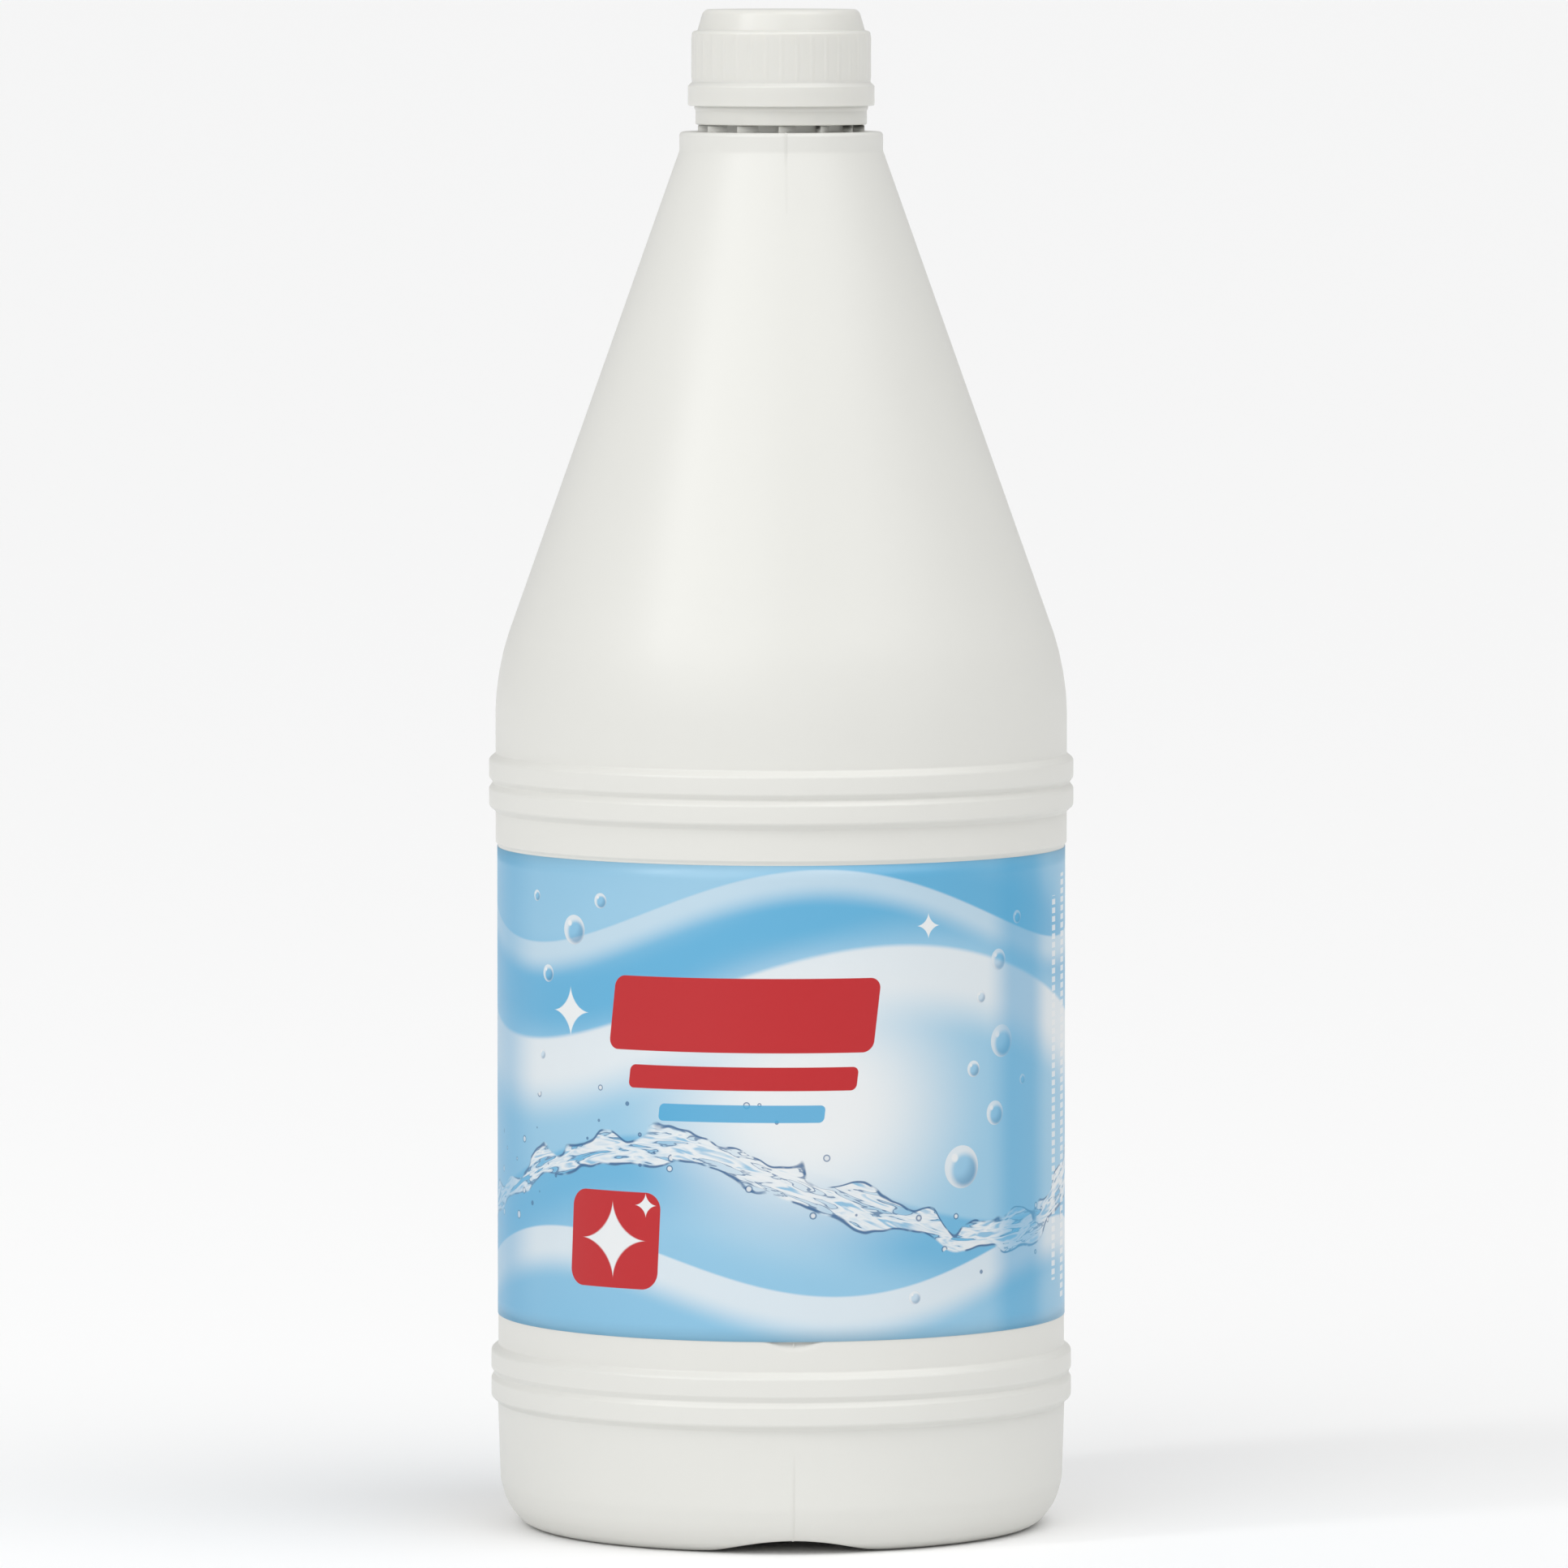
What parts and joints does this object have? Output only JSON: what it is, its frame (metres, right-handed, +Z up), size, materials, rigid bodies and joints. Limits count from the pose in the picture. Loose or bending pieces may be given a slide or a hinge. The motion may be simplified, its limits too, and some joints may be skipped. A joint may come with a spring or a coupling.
{
  "type": "bleach bottle",
  "caption": "Tall round blow-moulded bottle with a conical shoulder, paired stiffening rings, a wrap-around label and a push-and-turn screw cap.",
  "frame": {"origin": "middle of the standing ring, on the plane that the bottle stands on", "axes": "+Z up along the bottle's axis, the printed front faces -Y, +X to the right of the front"},
  "size_m": [0.1156, 0.1156, 0.3],
  "materials": {
    "bottle_white": "satin off-white blow-moulded plastic",
    "cap_white": "smooth off-white injection-moulded plastic",
    "label_print": "glossy printed film in sky blue and white with small red fields",
    "liner_foam": "soft white foam"
  },
  "bodies": {
    "bottle": {"bottle": "bottle_white", "label": "label_print", "tamper_ring": "cap_white"},
    "liner": {"liner": "liner_foam"},
    "inner_cap": {"inner_cap": "cap_white"},
    "outer_cap": {"outer_cap": "cap_white"}
  },
  "joints": [
    {"name": "cap_rise", "type": "slide", "parent": "bottle", "child": "liner", "axis": [0, 0, 1], "range_m": [0, 0.012]},
    {"name": "cap_turn", "type": "hinge", "parent": "liner", "child": "inner_cap", "pos_m": [0, 0, 0.29], "axis": [0, 0, 1], "range_deg": [0, 1201]},
    {"name": "push_down", "type": "slide", "parent": "inner_cap", "child": "outer_cap", "axis": [0, 0, -1], "range_m": [0, 0.0015], "stiffness_N_per_m": 6000}
  ],
  "couplings": [
    {"joint": "cap_turn", "follows": "cap_rise", "rad_per_m": 1745.3}
  ]
}
